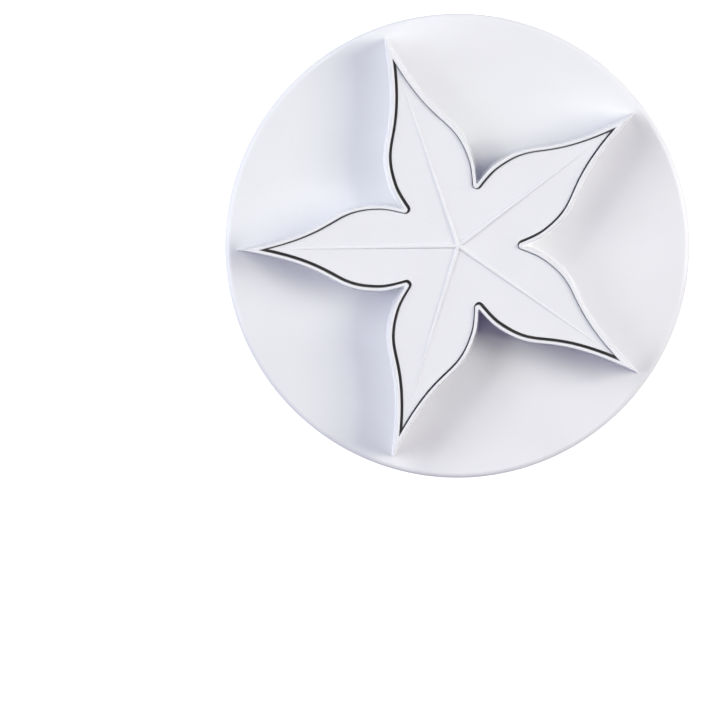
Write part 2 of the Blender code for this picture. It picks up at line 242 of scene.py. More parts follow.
def bezier(a: np.ndarray, b: np.ndarray, c: np.ndarray, d: np.ndarray,
           count: int) -> np.ndarray:
    """Sample a cubic curve.

    Args:
        a: Start point.
        b: First handle.
        c: Second handle.
        d: End point.
        count: Number of samples.

    Returns:
        The sampled points.
    """
    t = np.linspace(0.0, 1.0, count)[:, None]
    return (1 - t) ** 3 * a + 3 * (1 - t) ** 2 * t * b + 3 * (1 - t) * t ** 2 * c + t ** 3 * d


def blend(start: Values, end: Values, share: Values) -> Values:
    """Go a share of the way from one value or point to another."""
    return start + (end - start) * share


def angle_of(points: np.ndarray) -> np.ndarray:
    """Direction of each point, seen from the axis."""
    return np.arctan2(points[:, 1], points[:, 0])


def radius_of(points: np.ndarray) -> np.ndarray:
    """Distance of each point from the axis."""
    return np.hypot(points[:, 0], points[:, 1])


def unit_rows(rows: np.ndarray) -> np.ndarray:
    """The rows, each made one long."""
    return rows / np.linalg.norm(rows, axis=1)[:, None]


def turned_by(points: np.ndarray, angle: float) -> np.ndarray:
    """Turn flat points counter-clockwise round the origin."""
    cos, sin = math.cos(angle), math.sin(angle)
    return points @ np.array([[cos, sin], [-sin, cos]])


def crossing(points: np.ndarray, normal: np.ndarray) -> tuple[float, np.ndarray]:
    """Find where a polyline first crosses a line through the origin.

    Args:
        points: The polyline, which starts on the side that the normal points away from.
        normal: Normal of the line, pointing to where the polyline goes.

    Returns:
        The fractional index of the crossing and its point.
    """
    height = points @ normal
    index = int(np.nonzero((height[:-1] < 0.0) & (height[1:] >= 0.0))[0][0])
    share = height[index] / (height[index] - height[index + 1])
    return index + share, blend(points[index], points[index + 1], share)


def at_place(points: np.ndarray, place: float) -> np.ndarray:
    """Point at a fractional index of a polyline."""
    index = min(int(place), len(points) - 2)
    return blend(points[index], points[index + 1], place - index)


def evenly(run: np.ndarray, steps: int) -> np.ndarray:
    """Divide a polyline evenly, by its length and by how far it turns round the axis together.

    Args:
        run: The polyline.
        steps: Number of parts.

    Returns:
        The dividing points, both ends among them.
    """
    length = np.linalg.norm(np.diff(run, axis=0), axis=1)
    turn = np.abs(np.diff(angle_of(run)))
    measure = np.concatenate([[0.0], np.cumsum(length / length.sum() + turn / turn.sum())])
    wanted = np.linspace(0.0, measure[-1], steps + 1)
    return np.column_stack([np.interp(wanted, measure, run[:, axis]) for axis in range(2)])


@dataclass(frozen=True)
class Corner:
    """One corner of a profile: distance from the axis or wall, height, and its rounding."""

    reach: float
    height: float
    round: float = 0.0


@dataclass(frozen=True)
class Profile:
    """A cross-section whose material lies to the right of its path."""

    corners: tuple[Corner, ...]
    wide_round: float = 0.0009
    wide_step: float = math.radians(4.5)
    middle_step: float = math.radians(13.0)
    tiny_round: float = 0.00025
    tiny_step: float = math.radians(30.0)
    support: float = 0.00006

    def points(self) -> np.ndarray:
        """Round the corners, with a support point on each side of a rounding.

        Returns:
            Rows of reach, height and an edge mask that is 1 on outer roundings.
        """
        rows = [self._row(self.corners[0])]
        for before, corner, after in zip(self.corners, self.corners[1:], self.corners[2:]):
            rows += self._turn(before, corner, after)
        rows.append(self._row(self.corners[-1]))
        return np.array(rows)

    @staticmethod
    def _row(corner: Corner) -> tuple[float, float, float]:
        """A plain profile point at a corner."""
        return (corner.reach, corner.height, 0.0)

    def _step(self, radius: float) -> float:
        """Largest turn between two points of a rounding, so that wide ones catch low light evenly.

        Args:
            radius: Radius of the rounding.

        Returns:
            The turn, in radians.
        """
        if radius >= self.wide_round:
            return self.wide_step
        return self.middle_step if radius > self.tiny_round else self.tiny_step

    def _turn(self, before: Corner, corner: Corner,
              after: Corner) -> list[tuple[float, float, float]]:
        """Points of one corner.

        Args:
            before: The corner before it.
            corner: The corner itself.
            after: The corner after it.

        Returns:
            Its own point if it isn't rounded, or else the arc and its supports.
        """
        if corner.round == 0.0:
            return [self._row(corner)]
        here = Vector((corner.reach, corner.height))
        into = (here - Vector((before.reach, before.height))).normalized()
        out = (Vector((after.reach, after.height)) - here).normalized()
        cross = into.x * out.y - into.y * out.x
        angle = math.atan2(abs(cross), into.dot(out))
        inset = corner.round * math.tan(0.5 * angle)
        start = here - into * inset
        side = 1.0 if cross > 0.0 else -1.0
        centre = start + Vector((-into.y, into.x)) * side * corner.round
        edge = 1.0 if cross < 0.0 else 0.0
        steps = max(2, math.ceil(angle / self._step(corner.round)))
        rows = [(*(start - into * self.support), 0.0)]
        for step in range(steps + 1):
            turn = side * angle * step / steps
            arm = start - centre
            point = centre + Vector((arm.x * math.cos(turn) - arm.y * math.sin(turn),
                                     arm.x * math.sin(turn) + arm.y * math.cos(turn)))
            rows.append((*point, edge))
        rows.append((*(here + out * (inset + self.support)), 0.0))
        return rows


# ---------------------------------------------------------------- meshes


@dataclass
class Skin:
    """Points, faces and edge masks of a mesh in the making."""

    points: list[Sequence[float]]
    faces: list[Sequence[int]]
    edges: list[float]

    def add(self, grid: np.ndarray, side: float, angle: float) -> None:
        """Turn a grid of points into its place and add it.

        Args:
            grid: Rows of points along +X.
            side: 1 to keep the grid as it is, -1 to mirror it over the X axis.
            angle: Direction that it is turned to.
        """
        rows, columns, _ = grid.shape
        first = len(self.points)
        flat = grid.reshape(-1, 3).copy()
        flat[:, 1] *= side
        flat[:, :2] = turned_by(flat[:, :2], angle)
        self.points.extend(flat.tolist())
        self.edges.extend([0.0] * len(flat))
        for row in range(rows - 1):
            for column in range(columns - 1):
                corner = first + row * columns + column
                face = [corner, corner + 1, corner + columns + 1, corner + columns]
                self.faces.append(face if side > 0.0 else face[::-1])


@dataclass
class Shell:
    """Rings of points and their masks, from which a mesh is skinned."""

    rings: list[np.ndarray] = field(default_factory=list)
    edges: list[float] = field(default_factory=list)

    def add(self, outline: np.ndarray, height: float, edge: float = 0.0) -> None:
        """Add a ring.

        Args:
            outline: Flat points of the ring.
            height: Its height.
            edge: Its edge mask.
        """
        self.rings.append(np.column_stack([outline, np.full(len(outline), height)]))
        self.edges.append(edge)

    def skin(self, closed: bool) -> Skin:
        """Join neighbouring rings with four-sided faces.

        Args:
            closed: Whether the last ring joins the first.

        Returns:
            The skin over the rings.
        """
        count = len(self.rings[0])
        points = np.vstack(self.rings)
        following = np.roll(np.arange(count), -1)
        faces = []
        for ring in range(len(self.rings) - (0 if closed else 1)):
            low = ring * count
            high = ((ring + 1) % len(self.rings)) * count
            quads = np.column_stack([low + np.arange(count), low + following,
                                     high + following, high + np.arange(count)])
            faces += quads.tolist()
        return Skin(points.tolist(), faces, np.repeat(self.edges, count).tolist())


def circle_at(angles: np.ndarray, radius: float) -> np.ndarray:
    """Points of a circle at the given angles."""
    return radius * np.column_stack([np.cos(angles), np.sin(angles)])


def places_of(data: bpy.types.Mesh) -> np.ndarray:
    """Read where the points of a mesh are.

    Args:
        data: The mesh.

    Returns:
        One row for each point.
    """
    places = np.empty(len(data.vertices) * 3)
    data.vertices.foreach_get("co", places)
    return places.reshape(-1, 3)


def write_mask(data: bpy.types.Mesh, mask: Mask, values: np.ndarray) -> None:
    """Store a number for each point of a mesh.

    Args:
        data: The mesh.
        mask: The attribute that holds the numbers.
        values: One number for each point.
    """
    layer = data.attributes.new(mask.value, "FLOAT", "POINT")
    layer.data.foreach_set("value", values.astype(np.float32))


def depth_share(data: bpy.types.Mesh, start: float, fade: float) -> np.ndarray:
    """Work out how far below a height the points of a mesh lie.

    Args:
        data: The mesh.
        start: Height at which the share is still 0.
        fade: How far down it takes to reach 1.

    Returns:
        One share for each point.
    """
    return np.clip((start - places_of(data)[:, 2]) / fade, 0.0, 1.0)


def welded_mesh(name: str, skin: Skin) -> bpy.types.Mesh:
    """Make a closed, smoothly shaded mesh with crisp creases.

    Args:
        name: Name of the mesh.
        skin: Its points, faces and edge masks.

    Returns:
        The mesh, its coincident points welded and its faces turned outwards.
    """
    data = bpy.data.meshes.new(name)
    data.from_pydata(skin.points, [], skin.faces)
    write_mask(data, Mask.EDGE, np.array(skin.edges))
    bm = bmesh.new()
    bm.from_mesh(data)
    bmesh.ops.remove_doubles(bm, verts=bm.verts, dist=WELD_DISTANCE)
    bmesh.ops.dissolve_degenerate(bm, edges=bm.edges, dist=WELD_DISTANCE)
    bmesh.ops.recalc_face_normals(bm, faces=bm.faces)
    bm.to_mesh(data)
    bm.free()
    data.shade_smooth()
    data.set_sharp_from_angle(angle=SHARP_ANGLE)
    return data


def lathed(name: str, profile: Profile, steps: int) -> bpy.types.Mesh:
    """Spin a profile that starts and ends on the axis.

    Args:
        name: Name of the mesh.
        profile: The cross-section.
        steps: Parts of the full turn.

    Returns:
        The turned mesh.
    """
    angles = np.arange(steps) * math.tau / steps
    shell = Shell()
    for reach, height, edge in profile.points():
        shell.add(circle_at(angles, reach), height, edge)
    return welded_mesh(name, shell.skin(closed=False))


def shown(name: str, data: bpy.types.Mesh) -> bpy.types.Object:
    """Show a mesh.

    Args:
        name: Name of its object.
        data: The mesh.

    Returns:
        The object that holds it.
    """
    made = bpy.data.objects.new(name, data)
    bpy.context.scene.collection.objects.link(made)
    return made


def fused(piece: bpy.types.Object, tools: list[bpy.types.Object]) -> None:
    """Fuse tool solids into a piece, as one moulding, and delete them.

    Args:
        piece: The piece that is kept.
        tools: The solids that are fused into it.
    """
    for tool in tools:
        joint = piece.modifiers.new(tool.name, "BOOLEAN")
        joint.operation = "UNION"
        joint.solver = "EXACT"
        joint.object = tool
    graph = bpy.context.evaluated_depsgraph_get()
    data = bpy.data.meshes.new_from_object(piece.evaluated_get(graph), depsgraph=graph,
                                           preserve_all_data_layers=True)
    piece.modifiers.clear()
    piece.data = data
    data.set_sharp_from_angle(angle=SHARP_ANGLE)
    for tool in tools:
        bpy.data.objects.remove(tool, do_unlink=True)


# ---------------------------------------------------------------- shader bench


@dataclass
class NodeBench:
    """Adds and links nodes in one node tree."""

    tree: bpy.types.NodeTree

    def node(self, kind: str, **settings: object) -> bpy.types.Node:
        """Add a node.

        Args:
            kind: Its type, without the leading ShaderNode.
            **settings: Its properties.

        Returns:
            The new node.
        """
        made = self.tree.nodes.new("ShaderNode" + kind)
        for name, value in settings.items():
            setattr(made, name, value)
        return made

    def feed(self, socket: bpy.types.NodeSocket, source: Source) -> None:
        """Link an input or set it.

        Args:
            socket: The input.
            source: The socket that it is linked to, or its plain value.
        """
        if isinstance(source, bpy.types.NodeSocket):
            self.tree.links.new(source, socket)
        else:
            socket.default_value = source

    def feed_all(self, node: bpy.types.Node, sources: dict[str, Source]) -> bpy.types.Node:
        """Link or set some inputs of a node.

        Args:
            node: The node.
            sources: The names of the inputs, each with its socket or value.

        Returns:
            The same node.
        """
        for name, source in sources.items():
            self.feed(node.inputs[name], source)
        return node

    def position(self) -> bpy.types.NodeSocket:
        """Position on the piece, in its own metres."""
        return self.node("TexCoord").outputs["Object"]

    def attribute(self, mask: Mask) -> bpy.types.NodeSocket:
        """Value of a mesh attribute."""
        return self.node("Attribute", attribute_name=mask.value).outputs["Fac"]

    def math(self, operation: str, *sources: Source, clamp: bool = False) -> bpy.types.NodeSocket:
        """Add a Math node.

        Args:
            operation: What it does.
            *sources: Its inputs, as sockets or numbers.
            clamp: Whether the result is kept between 0 and 1.

        Returns:
            Its output.
        """
        made = self.node("Math", operation=operation, use_clamp=clamp)
        for socket, source in zip(made.inputs, sources):
            self.feed(socket, source)
        return made.outputs[0]

    def stretch(self, vector: Source, scale: tuple[float, float, float],
                turn: float) -> bpy.types.NodeSocket:
        """Turn and scale a position.

        Args:
            vector: The position.
            scale: Factors along the axes.
            turn: Turn round the Z axis, in degrees.

        Returns:
            The changed position.
        """
        return self.feed_all(self.node("Mapping"), {
            "Vector": vector, "Scale": scale,
            "Rotation": (0.0, 0.0, math.radians(turn))}).outputs["Vector"]

    def noise(self, vector: Source, scale: Source, detail: float = 2.0,
              roughness: float = 0.5) -> bpy.types.NodeSocket:
        """Add a noise texture.

        Args:
            vector: Where it is read.
            scale: Repeats per metre.
            detail: Number of finer layers.
            roughness: Strength of the finer layers.

        Returns:
            Its value, from 0 to 1.
        """
        return self.feed_all(self.node("TexNoise"), {
            "Vector": vector, "Scale": scale, "Detail": detail,
            "Roughness": roughness}).outputs["Fac"]

    def window(self, value: Source, low: float, high: float) -> bpy.types.NodeSocket:
        """Map the range from low to high smoothly to 0 to 1.

        Args:
            value: The input.
            low: Where the result is 0.
            high: Where the result is 1.

        Returns:
            The mapped value.
        """
        return self.feed_all(self.node("MapRange", interpolation_type="SMOOTHSTEP"), {
            "Value": value, "From Min": low, "From Max": high}).outputs["Result"]

    def mixed(self, share: Source, first: Source, second: Source) -> bpy.types.NodeSocket:
        """Mix two colours.

        Args:
            share: Share of the second colour.
            first: First colour.
            second: Second colour.

        Returns:
            The mixed colour.
        """
        made = self.node("Mix", data_type="RGBA")
        self.feed(made.inputs["Factor"], share)
        self.feed(made.inputs[6], first)
        self.feed(made.inputs[7], second)
        return made.outputs[2]

    def bump(self, height: Source, distance: float, strength: float = 1.0) -> bpy.types.NodeSocket:
        """Raise the surface's shading by a height.

        Args:
            height: The height, from 0 to 1.
            distance: What a height of 1 stands for, in metres.
            strength: Share of the effect.

        Returns:
            The changed normal.
        """
        return self.feed_all(self.node("Bump"), {
            "Height": height, "Distance": distance, "Strength": strength}).outputs["Normal"]

    def group(self, name: GroupName, place: Source, **inputs: Source) -> bpy.types.NodeOutputs:
        """Place a shared group.

        Args:
            name: Which group.
            place: Where it is read.
            **inputs: Its other inputs, with underscores for spaces.

        Returns:
            Its outputs.
        """
        made = self.node("Group")
        made.node_tree = bpy.data.node_groups[name.value]
        self.feed(made.inputs["Position"], place)
        for key, value in inputs.items():
            self.feed(made.inputs[key.replace("_", " ").capitalize()], value)
        return made.outputs


@dataclass(frozen=True)
class SharedEffects:
    """Builds the node groups that the finishes share, once."""

    grain_roughness: float = 0.6
    mottle_range: tuple[float, float] = (0.3, 0.7)
    scratch_lines: tuple[tuple[float, float], ...] = ((17.0, 0.006), (68.0, 0.005), (131.0, 0.006))
    scratch_stretch: tuple[float, float, float] = (90.0, 1500.0, 300.0)
    scratch_patches: float = 130.0
    scratch_patch_range: tuple[float, float] = (0.5, 0.68)
    wear_and_highlight_patches: float = 90.0
    wear_and_highlight_range: tuple[float, float] = (0.2, 0.8)
    speck_least: float = 0.02
    speck_spread: float = 0.05
    painted_shade_patches: float = 260.0
    painted_shade_least: float = 0.8
    painted_shade_spread: float = 0.3

    def build(self) -> None:
        """Build every group."""
        self._grain()
        self._scratches()
        self._polish_and_highlight()
        self._specks()
        self._shade()

    @staticmethod
    def _start(name: GroupName, inputs: tuple[str, ...], outputs: tuple[str, ...]
               ) -> tuple[NodeBench, bpy.types.NodeOutputs, bpy.types.NodeInputs]:
        """Open a new group that takes a position and some numbers, and puts out numbers.

        Args:
            name: Its name.
            inputs: Names of its number inputs.
            outputs: Names of its outputs.

        Returns:
            A bench in the group, the sockets of what is put in and those of what comes out.
        """
        tree = bpy.data.node_groups.new(name.value, "ShaderNodeTree")
        tree.interface.new_socket("Position", in_out="INPUT", socket_type="NodeSocketVector")
        for way, labels in (("INPUT", inputs), ("OUTPUT", outputs)):
            for label in labels:
                tree.interface.new_socket(label, in_out=way, socket_type="NodeSocketFloat")
        given = tree.nodes.new("NodeGroupInput").outputs
        return NodeBench(tree), given, tree.nodes.new("NodeGroupOutput").inputs

    def _grain(self) -> None:
        """Fine skin of a moulding, and the wide soft mottle of plastic that cooled unevenly."""
        bench, given, result = self._start(
            GroupName.GRAIN, ("Fineness", "Mottle size"), ("Grain", "Mottle"))
        grain = bench.noise(given["Position"], given["Fineness"], detail=3.0,
                            roughness=self.grain_roughness)
        mottle = bench.noise(given["Position"], given["Mottle size"], detail=1.5)
        bench.feed(result["Grain"], grain)
        bench.feed(result["Mottle"], bench.window(mottle, *self.mottle_range))

    def _scratches(self) -> None:
        """Hairline scratches from handling and washing, in patches."""
        bench, given, result = self._start(GroupName.SCRATCHES, ("Amount",), ("Scratches",))
        lines = None
        for turn, width in self.scratch_lines:
            place = bench.stretch(given["Position"], self.scratch_stretch, turn)
            value = bench.noise(place, 1.0, detail=0.0)
            off = bench.math("ABSOLUTE", bench.math("SUBTRACT", value, 0.5))
            line = bench.math("SUBTRACT", 1.0, bench.window(off, 0.0, width))
            lines = line if lines is None else bench.math("MAXIMUM", lines, line)
        spread = bench.noise(given["Position"], self.scratch_patches, detail=1.0)
        kept = bench.math("MULTIPLY", lines, bench.window(spread, *self.scratch_patch_range))
        bench.feed(result["Scratches"], bench.math("MULTIPLY", kept, given["Amount"], clamp=True))

    def _polish_and_highlight(self) -> None:
        """Outer edges that use has smoothed, unevenly along their length; the finish also paints
        them lighter, partly as a painted highlight.
        """
        bench, given, result = self._start(GroupName.POLISH_AND_HIGHLIGHT, ("Edge", "Amount"), ("Polish and highlight",))
        spread = bench.noise(given["Position"], self.wear_and_highlight_patches, detail=1.0)
        wear_and_highlight = bench.math("MULTIPLY", given["Edge"], bench.window(spread, *self.wear_and_highlight_range))
        bench.feed(result["Polish and highlight"], bench.math("MULTIPLY", wear_and_highlight, given["Amount"], clamp=True))

    def _specks(self) -> None:
        """Scattered dust and flour specks."""
        bench, given, result = self._start(GroupName.SPECKS, ("Spacing", "Density"), ("Specks",))
        cells = bench.feed_all(bench.node("TexVoronoi"), {
            "Vector": given["Position"], "Scale": given["Spacing"]})
        parts = bench.node("SeparateColor")
        bench.feed(parts.inputs[0], cells.outputs["Color"])
        chosen = bench.math("LESS_THAN", parts.outputs[0], given["Density"])
        size = bench.math("MULTIPLY_ADD", parts.outputs[1], self.speck_spread, self.speck_least)
        near = bench.math("LESS_THAN", cells.outputs["Distance"], size)
        bench.feed(result["Specks"], bench.math("MULTIPLY", chosen, near))

    def _shade(self) -> None:
        """Painted shade in the slot round the plate and under it: the recess mask, made uneven by
        noise.
        """
        bench, given, result = self._start(GroupName.SHADE, ("Recess",), ("Shade",))
        uneven = bench.noise(given["Position"], self.painted_shade_patches, detail=2.0)
        lifted = bench.math("MULTIPLY_ADD", uneven, self.painted_shade_spread, self.painted_shade_least)
        bench.feed(result["Shade"], bench.math("MULTIPLY", given["Recess"], lifted, clamp=True))


# ---------------------------------------------------------------- finishes


def opaque(colour: tuple[float, ...]) -> tuple[float, ...]:
    """A colour with full alpha."""
    return (*colour, 1.0)


def blank_finish(name: str) -> tuple[bpy.types.Material, NodeBench, bpy.types.Node]:
    """Make a new material.

    Args:
        name: Its name.

    Returns:
        The material, a bench in its node tree and its shader.
    """
    made = bpy.data.materials.new(name)
    made.use_nodes = True
    return made, NodeBench(made.node_tree), made.node_tree.nodes["Principled BSDF"]


@dataclass(frozen=True)
class MouldedPlastic:
    """Cool white moulded plastic: its tones, its wear, outer edges painted lighter as a painted
    highlight, and painted shade with a painted glow in the slot.
    """

    name: str
    colour: tuple[float, float, float] = (0.86, 0.87, 0.90)
    roughness: float = 0.34
    fineness: float = 5200.0
    mottle_size: float = 90.0
    scratches: float = 0.5
    polish_and_highlight: float = 0.35
    speck_density: float = 0.05
    grain_height: float = 0.000006
    scratch_depth: float = 0.35
    specular: float = 0.42
    subsurface: float = 0.08
    subsurface_reach: float = 0.0006
    subsurface_tint: tuple[float, float, float] = (1.0, 0.95, 0.9)
    bump_strength: float = 0.6
    speck_spacing: float = 700.0
    brightest: float = 0.97
    mottle_tone: float = 0.985
    wear_and_highlight_tone: float = 1.07
    scratch_tone: float = 0.8
    scratch_share: float = 0.18
    speck_tone: float = 0.55
    speck_share: float = 0.35
    painted_shade_colour: tuple[float, float, float] = (0.52, 0.49, 0.44)
    painted_glow: tuple[float, float, float] = (0.017, 0.017, 0.019)
    grain_roughness: float = 0.10
    worn_roughness: float = -0.10
    scratch_roughness: float = 0.15
    painted_shade_roughness: float = 0.4

    def material(self) -> bpy.types.Material:
        """Build the finish.

        Returns:
            Its material.
        """
        made, bench, shader = blank_finish(self.name)
        place = bench.position()
        grain, mottle = bench.group(GroupName.GRAIN, place, fineness=self.fineness,
                                    mottle_size=self.mottle_size)
        scratch = bench.group(GroupName.SCRATCHES, place, amount=self.scratches)[0]
        polish_and_highlight = bench.group(GroupName.POLISH_AND_HIGHLIGHT, place, edge=bench.attribute(Mask.EDGE),
                             amount=self.polish_and_highlight)[0]
        speck = bench.group(GroupName.SPECKS, place, spacing=self.speck_spacing,
                            density=self.speck_density)[0]
        shade = bench.group(GroupName.SHADE, place, recess=bench.attribute(Mask.RECESS))[0]

        colour = bench.mixed(mottle, self._tone(self.mottle_tone), self._tone(1.0))
        # outer edges painted lighter: partly wear, partly a painted highlight
        for share, tone in (
                (polish_and_highlight, self.wear_and_highlight_tone),
                (bench.math("MULTIPLY", scratch, self.scratch_share), self.scratch_tone),
                (bench.math("MULTIPLY", speck, self.speck_share), self.speck_tone)):
            colour = bench.mixed(share, colour, self._tone(tone))
        rough = self.roughness - 0.5 * self.grain_roughness
        for mask, change in ((grain, self.grain_roughness), (polish_and_highlight, self.worn_roughness),
                             (scratch, self.scratch_roughness)):
            rough = bench.math("MULTIPLY_ADD", mask, change, rough)
        height = bench.math("MULTIPLY_ADD", scratch, -self.scratch_depth, grain)
        bench.feed_all(shader, {
            # painted shade: the colour turns to the shade colour where the recess mask is
            "Base Color": bench.mixed(shade, colour, opaque(self.painted_shade_colour)),
            # painted glow: a faint emission where the recess mask is, lightening the slot's dark
            # core
            "Emission Color": bench.mixed(shade, opaque(BLACK), opaque(self.painted_glow)),
            "Emission Strength": 1.0,
            "Roughness": bench.math("MULTIPLY_ADD", shade, self.painted_shade_roughness, rough, clamp=True),
            "Normal": bench.bump(height, self.grain_height, self.bump_strength),
            "Specular IOR Level": self.specular,
            "Subsurface Weight": self.subsurface,
            "Subsurface Radius": self.subsurface_tint,
            "Subsurface Scale": self.subsurface_reach,
        })
        return made

    def _tone(self, factor: float) -> tuple[float, float, float, float]:
        """The plastic's colour, made lighter or darker."""
        return opaque(tuple(min(part * factor, self.brightest) for part in self.colour))


@dataclass(frozen=True)
class DrawnSteel:
    """Bright drawn steel wire."""

    name: str
    colour: tuple[float, float, float] = (0.55, 0.56, 0.58)
    roughness: float = 0.26
    streak_height: float = 0.000004
    streaks_along: float = 160.0
    streaks_around: float = 6.0
    streak_tones: tuple[float, float] = (0.8, 1.15)
    streak_grain: float = 0.65
    streak_roughness: float = 0.16
    spot_size: float = 900.0
    spot_range: tuple[float, float] = (0.58, 0.75)
    spot_colour: tuple[float, float, float] = (0.30, 0.27, 0.24)
    spot_share: float = 0.25
    spot_roughness: float = 0.12

    def material(self) -> bpy.types.Material:
        """Build the finish.

        Returns:
            Its material.
        """
        made, bench, shader = blank_finish(self.name)
        along = bench.attribute(Mask.ALONG)
        around = bench.attribute(Mask.AROUND)
        across = [bench.math("MULTIPLY", bench.math(wave, around), self.streaks_around)
                  for wave in ("SINE", "COSINE")]
        place = bench.feed_all(bench.node("CombineXYZ"), {
            "X": bench.math("MULTIPLY", along, self.streaks_along),
            "Y": across[0], "Z": across[1]})
        streak = bench.noise(place.outputs[0], 1.0, detail=4.0, roughness=self.streak_grain)
        rust = bench.noise(bench.position(), self.spot_size)
        spots = bench.window(rust, *self.spot_range)
        steel = bench.mixed(streak, *(opaque(tuple(part * tone for part in self.colour))
                                      for tone in self.streak_tones))
        rough = bench.math("MULTIPLY_ADD", streak, self.streak_roughness,
                           self.roughness - 0.5 * self.streak_roughness)
        bench.feed_all(shader, {
            "Base Color": bench.mixed(bench.math("MULTIPLY", spots, self.spot_share), steel,
                                      opaque(self.spot_colour)),
            "Roughness": bench.math("MULTIPLY_ADD", spots, self.spot_roughness, rough, clamp=True),
            "Normal": bench.bump(streak, self.streak_height),
            "Metallic": 1.0,
        })
        return made


@dataclass(frozen=True)
class PaleFloor:
    """Matt pale floor, paler to the camera than it is to the light."""

    name: str
    tones: tuple[tuple[float, float, float], ...] = ((0.93, 0.93, 0.935), (0.96, 0.96, 0.96))
    clouds: float = 30.0
    glow: float = 0.62
    bounce: tuple[float, float, float] = (0.66, 0.67, 0.70)
    roughness: float = 0.8
    specular: float = 0.1

    def material(self) -> bpy.types.Material:
        """Build the finish.

        Returns:
            Its material.
        """
        made, bench, shader = blank_finish(self.name)
        tone = bench.mixed(bench.noise(bench.position(), self.clouds, detail=3.0),
                           *map(opaque, self.tones))
        seen = bench.node("LightPath").outputs["Is Camera Ray"]
        bench.feed_all(shader, {
            "Base Color": bench.mixed(seen, opaque(self.bounce), tone),
            "Emission Color": tone,
            "Emission Strength": bench.math("MULTIPLY", seen, self.glow),
            "Roughness": self.roughness,
            "Specular IOR Level": self.specular,
        })
        return made


# ---------------------------------------------------------------- pieces


@dataclass
class Piece:
    """A visible piece: where it rides, which node it stands for and what it is finished in."""

    name: str
    body: Body
    node: str
    slot: Slot
    finish: MouldedPlastic | DrawnSteel

    def build(self) -> bpy.types.Object:
        """Make the piece's object. Each kind of piece has its own way."""
        raise NotImplementedError

    def place(self) -> bpy.types.Object:
        """Build the piece, dress it and tie it to the frame.

        Returns:
            The finished object.
        """
        made = self.build()
        made.data.materials.clear()
        made.data.materials.append(self.finish.material())
        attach(made, self.body.value)
        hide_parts(self.node)
        return made


